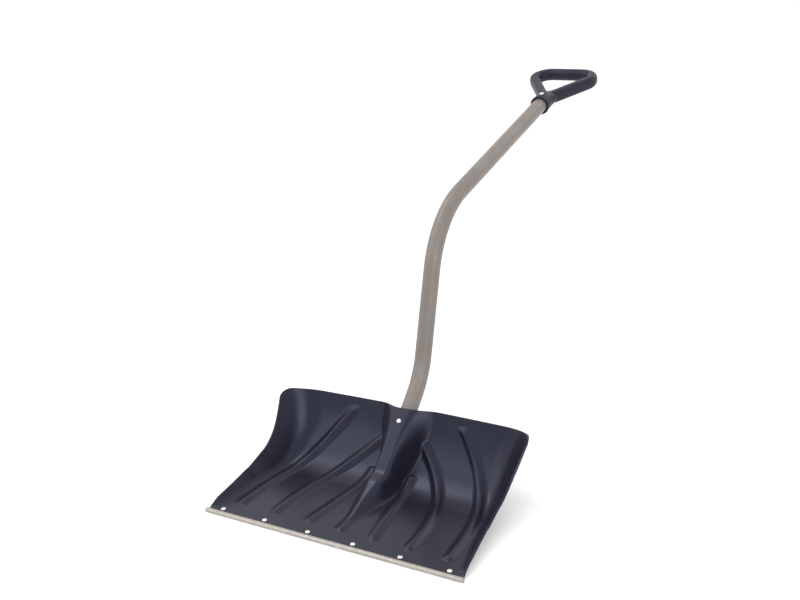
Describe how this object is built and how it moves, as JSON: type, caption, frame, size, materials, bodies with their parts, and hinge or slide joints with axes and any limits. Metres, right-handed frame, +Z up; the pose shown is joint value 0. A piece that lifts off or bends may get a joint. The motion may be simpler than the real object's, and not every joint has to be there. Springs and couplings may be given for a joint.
{
  "type": "snow shovel",
  "caption": "Wide ribbed plastic snow scoop with a riveted metal wear strip, bent ergonomic tube handle and closed D-grip.",
  "frame": {"origin": "middle of the cutting edge, 1.1 mm below the strip's flat underside and within about 4 mm of the cutting_edge mount; the scoop's flat lies level", "axes": "+X across the scoop to the right seen from the front, +Y from the cutting edge back towards the D-grip, +Z up"},
  "size_m": [0.46, 1.0203, 0.5623],
  "materials": {
    "scoop_plastic": "very dark navy moulded plastic, satin gloss",
    "strip_steel": "bare galvanised sheet, dull, lightly scratched",
    "rivet_steel": "bright plated",
    "tube_paint": "warm grey-brown paint, satin",
    "grip_plastic": "dark blue-grey moulded plastic, fine grain",
    "fastener_steel": "zinc plated"
  },
  "bodies": {
    "root": {"scoop": "scoop_plastic", "wear_strip": "strip_steel", "strip_rivet_1": "rivet_steel", "strip_rivet_2": "rivet_steel", "strip_rivet_3": "rivet_steel", "strip_rivet_4": "rivet_steel", "strip_rivet_5": "rivet_steel", "strip_rivet_6": "rivet_steel", "handle_tube": "tube_paint", "d_grip": "grip_plastic", "grip_rivet": "fastener_steel", "socket_bolt": "fastener_steel", "socket_nut": "fastener_steel"}
  },
  "joints": []
}
